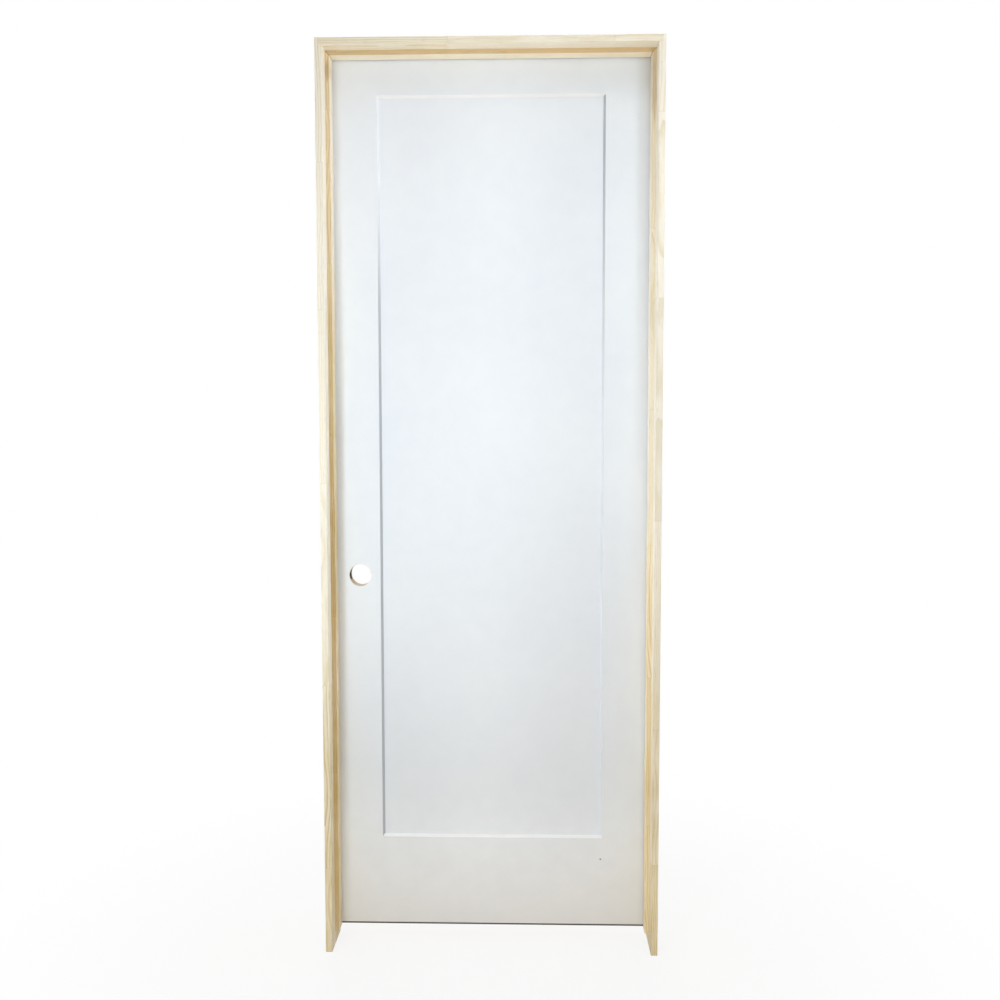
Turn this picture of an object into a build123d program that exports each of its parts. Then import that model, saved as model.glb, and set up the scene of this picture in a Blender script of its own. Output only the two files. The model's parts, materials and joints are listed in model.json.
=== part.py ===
"""Prehung interior door: a primed one-panel slab hung in a bare pine jamb set.

Millimetres, +Z up. The origin is the middle of the hinge jamb's back face. The slab lies
towards -X, the stops face -Y, and the slab swings out towards +Y on three butt hinges.
"""

import os
from math import radians, tan

from build123d import *

# Slab
slab_width = 762.0
slab_height = 2108.0
slab_thickness = 34.9
stile_width = 114.3
top_rail_width = 91.0
bottom_rail_width = 227.0
panel_thickness = 15.9
panel_tongue = 9.5
panel_play = 1.0
sticking_width = 4.5
sticking_lip = 2.0
lock_edge_bevel = 3.0
slab_arris = 1.0

# Lock preparation in the slab and the strike jamb
lock_bore_radius = 27.0
lock_bore_height = 877.0
lock_backset = 60.3
latch_bore_radius = 12.7
latch_plate_height = 57.2
latch_plate_width = 25.4
latch_plate_depth = 3.0
latch_plate_corner = 6.0
strike_height = 57.2
strike_reach = 18.0
strike_depth = 2.0
strike_corner = 6.0
strike_bore_radius = 11.1

# Jamb set and stops
jamb_thickness = 15.9
jamb_depth = 115.9
jamb_arris = 1.0
head_housing = 9.5
stop_thickness = 11.1
stop_width = 34.9
stop_arris = 2.0

# Margins round the closed slab
lock_margin = 5.0
hinge_margin = 5.0
head_margin = 5.0
stop_margin = 5.0
undercut = 35.0

# Butt hinges
hinge_height = 88.9
hinge_leaf_width = 44.45
hinge_leaf_thickness = 2.3
hinge_leaf_inset = 6.4
hinge_corner = 15.9
hinge_fit = 0.2
barrel_radius = 5.6
knuckle_count = 5
knuckle_gap = 0.3
barrel_clearance = 0.6
pin_radius = 3.2
pin_clearance = 0.05
pin_head_radius = 4.6
pin_head_height = 2.6
pin_head_chamfer = 1.4
pin_tip = 1.6
pin_tip_chamfer = 1.2
top_hinge_drop = 177.8
bottom_hinge_rise = 279.4

# Levels, from the feet of the legs up
leg_height = undercut + slab_height + head_margin + jamb_thickness
floor_z = -leg_height / 2
slab_bottom_z = floor_z + undercut
slab_top_z = slab_bottom_z + slab_height
head_under_z = slab_top_z + head_margin
leg_top_z = head_under_z + jamb_thickness
lock_z = slab_bottom_z + lock_bore_height

# Planes across the opening, from the hinge jamb's back to the strike jamb's back
hinge_face_x = -jamb_thickness
slab_hinge_x = hinge_face_x - hinge_margin
slab_lock_x = slab_hinge_x - slab_width
strike_face_x = slab_lock_x - lock_margin
strike_back_x = strike_face_x - jamb_thickness
lock_bore_x = slab_lock_x + lock_backset

# Planes through the wall, from the stop side to the swing side
front_y = -jamb_depth / 2
back_y = jamb_depth / 2
slab_front_y = back_y - slab_thickness
slab_middle_y = back_y - slab_thickness / 2
stop_back_y = slab_front_y - stop_margin
stop_front_y = stop_back_y - stop_width

# Hinge line
groove_depth = panel_tongue + panel_play
leaf_edge_y = slab_front_y + hinge_leaf_inset
pin_x = (hinge_face_x + slab_hinge_x) / 2
pin_y = leaf_edge_y + hinge_leaf_width
knuckle_length = (hinge_height - (knuckle_count - 1) * knuckle_gap) / knuckle_count
upper_hinge_z = slab_top_z - top_hinge_drop - hinge_height / 2
lower_hinge_z = slab_bottom_z + bottom_hinge_rise + hinge_height / 2
hinge_levels = {
    "upper": upper_hinge_z,
    "middle": (upper_hinge_z + lower_hinge_z) / 2,
    "lower": lower_hinge_z,
}

os.makedirs("parts", exist_ok=True)


def keep(piece, label):
    """Labels a finished piece and writes it out."""
    piece.label = label
    export_step(piece, f"parts/{label}.step")


def sticking_profile(width, edge_setback=0.0):
    """Section of a stile or rail: (distance from the outer edge, height off the mid-plane)."""
    face = slab_thickness / 2
    groove = panel_thickness / 2
    lip = groove + sticking_lip
    return [
        (edge_setback, -face),
        (width - sticking_width, -face),
        (width, -lip),
        (width, -groove),
        (width - groove_depth, -groove),
        (width - groove_depth, groove),
        (width, groove),
        (width, lip),
        (width - sticking_width, face),
        (0.0, face),
    ]


# The lock edge leans back on the stop side so that it clears the strike jamb as it swings
lock_edge_setback = slab_thickness * tan(radians(lock_edge_bevel))
lock_stile_section = [
    (slab_lock_x + u, slab_middle_y + v)
    for u, v in sticking_profile(stile_width, lock_edge_setback)
]
hinge_stile_section = [
    (slab_hinge_x - u, slab_middle_y + v) for u, v in sticking_profile(stile_width)
]

# Lock stile: bored across for the lock, from the edge for the latch, and cut in for its plate
with BuildPart() as lock_stile:
    with BuildSketch(Plane.XY.offset(slab_bottom_z)):
        with BuildLine():
            Polyline(*lock_stile_section, close=True)
        make_face()
    extrude(amount=slab_height)
    fillet(lock_stile.edges().filter_by(Axis.Z).group_by(Axis.X)[0], slab_arris)
    fillet(lock_stile.edges().filter_by(Axis.Z).group_by(Axis.Y)[0].sort_by(Axis.X)[0], slab_arris)
    with BuildSketch(Plane.XZ.offset(-slab_front_y)):
        with Locations((lock_bore_x, lock_z)):
            Circle(lock_bore_radius)
    extrude(amount=-slab_thickness, mode=Mode.SUBTRACT)
    with BuildSketch(Plane.YZ.offset(slab_lock_x)):
        with Locations((slab_middle_y, lock_z)):
            Circle(latch_bore_radius)
    extrude(amount=lock_backset, mode=Mode.SUBTRACT)
    with BuildSketch(Plane.YZ.offset(slab_lock_x)) as latch_plate_seat:
        with Locations((slab_middle_y, lock_z)):
            Rectangle(latch_plate_width, latch_plate_height)
        fillet(latch_plate_seat.vertices(), latch_plate_corner)
    extrude(amount=latch_plate_depth, mode=Mode.SUBTRACT)
keep(lock_stile.part, "lock_stile")

# Hinge stile: gained on its edge for the three door leaves
with BuildPart() as hinge_stile:
    with BuildSketch(Plane.XY.offset(slab_bottom_z)):
        with BuildLine():
            Polyline(*hinge_stile_section, close=True)
        make_face()
    extrude(amount=slab_height)
    fillet(hinge_stile.edges().filter_by(Axis.Z).group_by(Axis.X)[-1], slab_arris)
    for level in hinge_levels.values():
        with BuildSketch(Plane.YZ.offset(slab_hinge_x)) as gain:
            with Locations((leaf_edge_y - hinge_fit, level)):
                Rectangle(
                    back_y - leaf_edge_y + hinge_fit,
                    hinge_height + 2 * hinge_fit,
                    align=(Align.MIN, Align.CENTER),
                )
            fillet(gain.vertices().group_by(Axis.X)[0], hinge_corner + hinge_fit)
        extrude(amount=-hinge_leaf_thickness, mode=Mode.SUBTRACT)
keep(hinge_stile.part, "hinge_stile")

# Rails: their ends are coped over the stiles' sticking, with a stub tongue in the groove
tongue_start_x = slab_lock_x + stile_width - panel_tongue
tongue_end_x = slab_hinge_x - stile_width + panel_tongue


def coped_rail(section, base_z, width):
    """Rail of the given section, cut at both ends to the stiles' profile."""
    with BuildPart() as rail:
        with BuildSketch(Plane.YZ.offset(tongue_start_x)):
            with BuildLine():
                Polyline(*section, close=True)
            make_face()
        extrude(amount=tongue_end_x - tongue_start_x)
        for stile_section in (lock_stile_section, hinge_stile_section):
            with BuildSketch(Plane.XY.offset(base_z)):
                with BuildLine():
                    Polyline(*stile_section, close=True)
                make_face()
            extrude(amount=width, mode=Mode.SUBTRACT)
    return rail.part


top_rail_section = [
    (slab_middle_y + v, slab_top_z - u) for u, v in sticking_profile(top_rail_width)
]
bottom_rail_section = [
    (slab_middle_y + v, slab_bottom_z + u) for u, v in sticking_profile(bottom_rail_width)
]
keep(coped_rail(top_rail_section, slab_top_z - top_rail_width, top_rail_width), "top_rail")
keep(coped_rail(bottom_rail_section, slab_bottom_z, bottom_rail_width), "bottom_rail")

# Flat panel: floats in the grooves of the stiles and rails
panel_bottom_z = slab_bottom_z + bottom_rail_width - panel_tongue
panel_top_z = slab_top_z - top_rail_width + panel_tongue
with BuildPart() as panel:
    with BuildSketch(Plane.XZ.offset(-slab_middle_y)):
        with Locations((tongue_start_x, panel_bottom_z)):
            Rectangle(
                tongue_end_x - tongue_start_x,
                panel_top_z - panel_bottom_z,
                align=(Align.MIN, Align.MIN),
            )
    extrude(amount=panel_thickness / 2, both=True)
keep(panel.part, "panel")


def jamb_leg(inner_x, back_x):
    """Plain jamb leg with eased arrises, housed at its top for the head."""
    inward = 1 if inner_x > back_x else -1
    housing_align = Align.MAX if inward > 0 else Align.MIN
    with BuildPart() as leg:
        with BuildSketch(Plane.XY.offset(floor_z)):
            with Locations(((inner_x + back_x) / 2, 0)):
                Rectangle(jamb_thickness, jamb_depth)
        extrude(amount=leg_height)
        fillet(leg.edges().filter_by(Axis.Z), jamb_arris)
        with BuildSketch(Plane.XY.offset(head_under_z)):
            with Locations((inner_x, 0)):
                Rectangle(head_housing, jamb_depth, align=(housing_align, Align.CENTER))
        extrude(amount=jamb_thickness, mode=Mode.SUBTRACT)
    return leg.part


# Strike jamb: seat for a lipped strike, open to the swing side, with a pocket for the latch
with BuildPart() as strike_jamb:
    add(jamb_leg(strike_face_x, strike_back_x))
    with BuildSketch(Plane.YZ.offset(strike_face_x)) as strike_seat:
        with Locations((slab_middle_y - strike_reach, lock_z)):
            Rectangle(
                back_y - slab_middle_y + strike_reach,
                strike_height,
                align=(Align.MIN, Align.CENTER),
            )
        fillet(strike_seat.vertices().group_by(Axis.X)[0], strike_corner)
    extrude(amount=-strike_depth, mode=Mode.SUBTRACT)
    with BuildSketch(Plane.YZ.offset(strike_face_x)):
        with Locations((slab_middle_y, lock_z)):
            Circle(strike_bore_radius)
    extrude(amount=-jamb_thickness, mode=Mode.SUBTRACT)
keep(strike_jamb.part, "strike_jamb")

# Hinge jamb: gained for the three frame leaves
with BuildPart() as hinge_jamb:
    add(jamb_leg(hinge_face_x, 0.0))
    for level in hinge_levels.values():
        with BuildSketch(Plane.YZ.offset(hinge_face_x)) as gain:
            with Locations((leaf_edge_y - hinge_fit, level)):
                Rectangle(
                    back_y - leaf_edge_y + hinge_fit,
                    hinge_height + 2 * hinge_fit,
                    align=(Align.MIN, Align.CENTER),
                )
            fillet(gain.vertices().group_by(Axis.X)[0], hinge_corner + hinge_fit)
        extrude(amount=hinge_leaf_thickness, mode=Mode.SUBTRACT)
keep(hinge_jamb.part, "hinge_jamb")

# Head jamb: let into the housings of both legs
with BuildPart() as head_jamb:
    with BuildSketch(Plane.YZ.offset(strike_face_x - head_housing)):
        with Locations((0, head_under_z)):
            Rectangle(jamb_depth, jamb_thickness, align=(Align.CENTER, Align.MIN))
    extrude(amount=hinge_face_x - strike_face_x + 2 * head_housing)
    fillet(head_jamb.edges().filter_by(Axis.X), jamb_arris)
keep(head_jamb.part, "head_jamb")

# Stops: planted on the jamb faces, mitred at the two top corners and ending level with the slab
stop_under_z = head_under_z - stop_thickness
strike_stop_x = strike_face_x + stop_thickness
hinge_stop_x = hinge_face_x - stop_thickness
stop_faces = {
    "strike_stop": [
        (strike_face_x, slab_bottom_z),
        (strike_stop_x, slab_bottom_z),
        (strike_stop_x, stop_under_z),
        (strike_face_x, head_under_z),
    ],
    "head_stop": [
        (strike_face_x, head_under_z),
        (strike_stop_x, stop_under_z),
        (hinge_stop_x, stop_under_z),
        (hinge_face_x, head_under_z),
    ],
    "hinge_stop": [
        (hinge_face_x, head_under_z),
        (hinge_stop_x, stop_under_z),
        (hinge_stop_x, slab_bottom_z),
        (hinge_face_x, slab_bottom_z),
    ],
}
eased_stop_edges = {
    "strike_stop": lambda edges: edges.filter_by(Axis.Z).sort_by(Axis.X)[-1],
    "head_stop": lambda edges: edges.filter_by(Axis.X).sort_by(Axis.Z)[0],
    "hinge_stop": lambda edges: edges.filter_by(Axis.Z).sort_by(Axis.X)[0],
}
for stop_name, outline in stop_faces.items():
    with BuildPart() as stop:
        with BuildSketch(Plane.XZ.offset(-stop_front_y)):
            with BuildLine():
                Polyline(*outline, close=True)
            make_face()
        extrude(amount=-stop_width)
        front_edges = stop.edges().group_by(Axis.Y)[0]
        fillet(eased_stop_edges[stop_name](front_edges), stop_arris)
    keep(stop.part, stop_name)


def hinge_leaf(face_x, towards_wood, level, own_knuckles):
    """Leaf let in flush with the wood, with its share of the barrel's knuckles."""
    bottom_z = level - hinge_height / 2
    root_y = pin_y - barrel_radius - barrel_clearance
    knuckle_bases = [bottom_z + i * (knuckle_length + knuckle_gap) for i in own_knuckles]
    with BuildPart() as leaf:
        with BuildSketch(Plane.YZ.offset(face_x)) as plate:
            with Locations((leaf_edge_y, level)):
                Rectangle(root_y - leaf_edge_y, hinge_height, align=(Align.MIN, Align.CENTER))
            fillet(plate.vertices().group_by(Axis.X)[0], hinge_corner)
            for base_z in knuckle_bases:
                with Locations((root_y, base_z)):
                    Rectangle(pin_y - root_y, knuckle_length, align=(Align.MIN, Align.MIN))
        extrude(amount=towards_wood * hinge_leaf_thickness)
        for base_z in knuckle_bases:
            with BuildSketch(Plane.XY.offset(base_z)):
                with Locations((pin_x, pin_y)):
                    Circle(barrel_radius)
            extrude(amount=knuckle_length)
        with BuildSketch(Plane.XY.offset(bottom_z)):
            with Locations((pin_x, pin_y)):
                Circle(pin_radius + pin_clearance)
        extrude(amount=hinge_height, mode=Mode.SUBTRACT)
    return leaf.part


def hinge_pin(level):
    """Loose pin: a shank with a chamfered tip, and a bevelled head on the top knuckle."""
    bottom_z = level - hinge_height / 2
    top_z = level + hinge_height / 2
    with BuildPart() as pin:
        with BuildSketch(Plane.XY.offset(bottom_z - pin_tip)):
            with Locations((pin_x, pin_y)):
                Circle(pin_radius)
        extrude(amount=hinge_height + pin_tip)
        chamfer(pin.edges().sort_by(Axis.Z)[0], pin_tip_chamfer)
        with BuildSketch(Plane.XY.offset(top_z)):
            with Locations((pin_x, pin_y)):
                Circle(pin_head_radius)
        extrude(amount=pin_head_height)
        chamfer(pin.edges().sort_by(Axis.Z)[-1], pin_head_chamfer)
    return pin.part


# Hinges: the frame leaf holds the odd knuckles and the door leaf the even ones
frame_knuckles = range(0, knuckle_count, 2)
door_knuckles = range(1, knuckle_count, 2)
for place, level in hinge_levels.items():
    keep(hinge_leaf(hinge_face_x, 1, level, frame_knuckles), f"{place}_hinge_frame_leaf")
    keep(hinge_leaf(slab_hinge_x, -1, level, door_knuckles), f"{place}_hinge_door_leaf")
    keep(hinge_pin(level), f"{place}_hinge_pin")
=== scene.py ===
"""Looks of a prehung interior door: a white primed slab hung in a bare finger-jointed pine jamb set.

Among the named settings, an ease holds the two ends of a ramp, and the values there where they aren't 0
and 1. A noise holds scale, detail and roughness. A squeeze holds the scale of each axis.
"""

import json
import logging
import math
from dataclasses import dataclass, replace
from enum import Enum

import bmesh
import bpy
from mathutils import Matrix, Vector


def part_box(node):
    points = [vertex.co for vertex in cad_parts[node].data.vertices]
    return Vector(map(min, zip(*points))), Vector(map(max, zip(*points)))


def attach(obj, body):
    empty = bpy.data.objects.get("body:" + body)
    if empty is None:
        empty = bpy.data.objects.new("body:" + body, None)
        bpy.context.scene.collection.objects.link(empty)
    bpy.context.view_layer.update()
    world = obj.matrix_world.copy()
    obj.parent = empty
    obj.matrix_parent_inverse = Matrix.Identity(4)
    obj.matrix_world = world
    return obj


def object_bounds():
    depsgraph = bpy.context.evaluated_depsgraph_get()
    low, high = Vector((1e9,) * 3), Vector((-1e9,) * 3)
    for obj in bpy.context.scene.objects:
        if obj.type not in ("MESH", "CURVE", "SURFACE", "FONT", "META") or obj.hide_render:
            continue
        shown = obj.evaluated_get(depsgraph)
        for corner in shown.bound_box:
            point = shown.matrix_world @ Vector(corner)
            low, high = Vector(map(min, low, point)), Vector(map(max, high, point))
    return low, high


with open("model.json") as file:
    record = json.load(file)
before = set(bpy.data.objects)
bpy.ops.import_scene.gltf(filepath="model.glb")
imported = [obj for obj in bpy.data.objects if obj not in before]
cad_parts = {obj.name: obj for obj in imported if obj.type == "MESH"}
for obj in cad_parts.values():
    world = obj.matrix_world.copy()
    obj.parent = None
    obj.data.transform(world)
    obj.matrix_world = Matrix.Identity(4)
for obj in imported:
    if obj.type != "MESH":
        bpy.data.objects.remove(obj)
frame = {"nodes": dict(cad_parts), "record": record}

CAD_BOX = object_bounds()
MOUNTS = {mount["name"]: mount for mount in frame["record"]["mounts"]}
MM = 0.001
Color = tuple[float, float, float]
Point = tuple[float, float, float]
Socket = bpy.types.NodeSocket
log = logging.getLogger("prehung_door")


def paint(red: int, green: int, blue: int) -> Color:
    """Turns screen values of 0 to 255 into a linear colour.

    Args:
        red: Red level.
        green: Green level.
        blue: Blue level.

    Returns:
        The colour in linear light.
    """

    def linear(level: int) -> float:
        """Undoes the screen's curve for one channel."""
        share = level / 255
        return share / 12.92 if share <= 0.04045 else ((share + 0.055) / 1.055) ** 2.4

    return linear(red), linear(green), linear(blue)


class GrainWay(Enum):
    """The way a board's grain runs."""

    UPRIGHT = "upright"
    LEVEL = "level"


class SocketKind(Enum):
    """What a node group's socket carries."""

    VALUE = "NodeSocketFloat"
    VECTOR = "NodeSocketVector"
    COLOR = "NodeSocketColor"


class LeafSide(Enum):
    """The side of a hinge that a leaf is on: its body, the wood it is let into and its way along X."""

    FRAME = ("frame", "hinge_jamb", -1.0)
    DOOR = ("door", "hinge_stile", 1.0)


class Graph:
    """Adds nodes to one shader tree and joins them."""

    def __init__(self, tree: bpy.types.NodeTree) -> None:
        """Starts on an empty tree."""
        self.tree = tree
        tree.nodes.clear()

    def node(self, kind: str, **settings: object) -> bpy.types.Node:
        """Adds a node.

        Args:
            kind: Node type without its ShaderNode prefix.
            settings: Properties to set on the node.

        Returns:
            The new node.
        """
        added = self.tree.nodes.new(kind if kind.startswith("NodeGroup") else "ShaderNode" + kind)
        for name, value in settings.items():
            setattr(added, name, value)
        return added

    def feed(self, socket: Socket, value: object) -> None:
        """Joins a socket to another one, or sets it to a plain value.

        Args:
            socket: Input to feed.
            value: Another node's output, or a number, colour or vector.
        """
        if isinstance(value, Socket):
            self.tree.links.new(value, socket)
        elif hasattr(value, "__len__") and socket.type == "RGBA" and len(value) == 3:
            socket.default_value = (*value, 1.0)
        else:
            socket.default_value = value

    def fed(self, node: bpy.types.Node, *values: object) -> bpy.types.Node:
        """Feeds a node's first inputs in order.

        Args:
            node: Node to feed.
            values: Values or sockets.

        Returns:
            The same node.
        """
        for socket, value in zip(node.inputs, values):
            self.feed(socket, value)
        return node

    def math(self, operation: str, first: object, second: object = 0.0, clamp: bool = False) -> Socket:
        """Adds a Math node and returns its value."""
        return self.fed(self.node("Math", operation=operation, use_clamp=clamp), first, second).outputs[0]

    def plus(self, base: object, value: object, share: float) -> Socket:
        """Adds a share of a value to a base."""
        return self.math("ADD", base, self.math("MULTIPLY", value, share))

    def swing(self, value: object, reach: float) -> Socket:
        """Centres a value of 0 to 1 on zero and gives it a reach."""
        return self.math("MULTIPLY", self.math("SUBTRACT", value, 0.5), reach)

    def squares(self, first: object, second: object) -> Socket:
        """Adds the squares of two values."""
        return self.math("ADD", self.math("POWER", first, 2.0), self.math("POWER", second, 2.0))

    def ramp(self, value: object, low: object, high: object, start: float = 0.0, end: float = 1.0) -> Socket:
        """Eases a value from start to end while it goes from low to high."""
        added = self.node("MapRange", interpolation_type="SMOOTHSTEP")
        return self.fed(added, value, low, high, start, end).outputs[0]

    def mix(self, share: object, first: object, second: object, blend: str = "MIX") -> Socket:
        """Mixes two colours.

        Args:
            share: Share of the second colour.
            first: First colour.
            second: Second colour.
            blend: Blend type of the Mix node.

        Returns:
            The mixed colour.
        """
        added = self.node("Mix", data_type="RGBA", blend_type=blend)
        self.feed(added.inputs[0], share)
        self.feed(added.inputs[6], first)
        self.feed(added.inputs[7], second)
        return added.outputs[2]

    def toned(self, color: Socket, tone: Socket) -> Socket:
        """Multiplies a colour by a plain tone."""
        return self.mix(1.0, color, self.join(tone, tone, tone), "MULTIPLY")

    def split(self, vector: Socket) -> tuple[Socket, ...]:
        """Splits a vector into its three values."""
        return tuple(self.fed(self.node("SeparateXYZ"), vector).outputs)

    def channels(self, color: Socket) -> tuple[Socket, ...]:
        """Splits a colour into its three values."""
        return tuple(self.fed(self.node("SeparateColor"), color).outputs)

    def join(self, *values: object) -> Socket:
        """Joins three values into a vector."""
        return self.fed(self.node("CombineXYZ"), *values).outputs[0]

    def vector(self, operation: str, first: object, second: object = (0.0, 0.0, 0.0)) -> Socket:
        """Adds a Vector Math node and returns its vector, or its value for a length."""
        added = self.fed(self.node("VectorMath", operation=operation), first, second)
        return added.outputs["Value" if operation == "LENGTH" else "Vector"]

    def stretch(self, vector: Socket, scale: object) -> Socket:
        """Multiplies a vector by a scale for each axis."""
        return self.vector("MULTIPLY", vector, scale)

    def noise(self, vector: Socket, scale: object, detail: float = 2.0, roughness: float = 0.5) -> Socket:
        """Adds a noise texture.

        Args:
            vector: Place to read it at.
            scale: Cells in a metre.
            detail: Number of finer layers.
            roughness: Weight of the finer layers.

        Returns:
            Its value, about 0.5 on average.
        """
        added = self.node("TexNoise")
        settings = {"Vector": vector, "Scale": scale, "Detail": detail, "Roughness": roughness}
        for name, value in settings.items():
            self.feed(added.inputs[name], value)
        return added.outputs[0]

    def place(self, group: bpy.types.NodeTree, **inputs: object) -> bpy.types.NodeOutputs:
        """Places a node group and feeds its inputs by name.

        Args:
            group: The group to place.
            inputs: Values or sockets, by the input's name with spaces as underscores.

        Returns:
            The outputs of the placed group.
        """
        added = self.node("Group", node_tree=group)
        for name, value in inputs.items():
            self.feed(added.inputs[name.replace("_", " ")], value)
        return added.outputs

    def surface(self, color: Socket, rough: object, **plain: float) -> bpy.types.Node:
        """Adds the material's shader and sends it to the output.

        Args:
            color: Base colour.
            rough: Roughness.
            plain: Values of other inputs, by name with spaces as underscores.

        Returns:
            The shader.
        """
        shader = self.node("BsdfPrincipled")
        self.feed(shader.inputs["Base Color"], color)
        self.feed(shader.inputs["Roughness"], rough)
        for name, value in plain.items():
            shader.inputs[name.replace("_", " ")].default_value = value
        self.feed(self.node("OutputMaterial").inputs[0], shader.outputs[0])
        return shader

    def bump(self, shader: bpy.types.Node, height: Socket, strength: float, depth: float) -> None:
        """Gives a shader fine relief.

        Args:
            shader: Shader to give it to.
            height: Height over the surface.
            strength: Strength of the relief.
            depth: Depth that a height of 1 stands for.
        """
        added = self.node("Bump")
        added.inputs["Strength"].default_value = strength
        added.inputs["Distance"].default_value = depth
        self.feed(added.inputs["Height"], height)
        self.feed(shader.inputs["Normal"], added.outputs[0])


class GroupMaker:
    """Makes a shader node group with named sockets."""

    def __init__(self, name: str, inputs: dict[str, SocketKind], outputs: dict[str, SocketKind]) -> None:
        """Makes an empty group.

        Args:
            name: The group's name.
            inputs: Kind of each input, by name.
            outputs: Kind of each output, by name.
        """
        self.tree = bpy.data.node_groups.new(name, "ShaderNodeTree")
        for sockets, way in ((inputs, "INPUT"), (outputs, "OUTPUT")):
            for label, kind in sockets.items():
                self.tree.interface.new_socket(name=label, in_out=way, socket_type=kind.value)
        self.graph = Graph(self.tree)
        self.source = self.graph.node("NodeGroupInput").outputs
        self.sink = self.graph.node("NodeGroupOutput").inputs

    def give(self, **results: object) -> bpy.types.NodeTree:
        """Feeds the group's outputs.

        Args:
            results: Sockets, by the output's name with spaces as underscores.

        Returns:
            The finished group.
        """
        for name, value in results.items():
            self.graph.feed(self.sink[name.replace("_", " ")], value)
        return self.tree


def new_material(name: str) -> tuple[bpy.types.Material, Graph, Socket]:
    """Starts a node material.

    Args:
        name: The material's name.

    Returns:
        The material, its graph and its Object coordinates.
    """
    material = bpy.data.materials.new(name)
    material.use_nodes = True
    g = Graph(material.node_tree)
    return material, g, g.node("TexCoord").outputs["Object"]


def new_object(name: str, mesh: bmesh.types.BMesh) -> bpy.types.Object:
    """Turns a bmesh into an object in the scene and frees it.

    Args:
        name: Name of the object and its mesh.
        mesh: The finished shape.

    Returns:
        The new object.
    """
    data = bpy.data.meshes.new(name)
    mesh.to_mesh(data)
    mesh.free()
    made = bpy.data.objects.new(name, data)
    bpy.context.scene.collection.objects.link(made)
    return made


def put_on(node: str, material: bpy.types.Material) -> None:
    """Puts a material in every slot of a CAD node."""
    for slot in frame["nodes"][node].material_slots:
        slot.material = material


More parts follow.
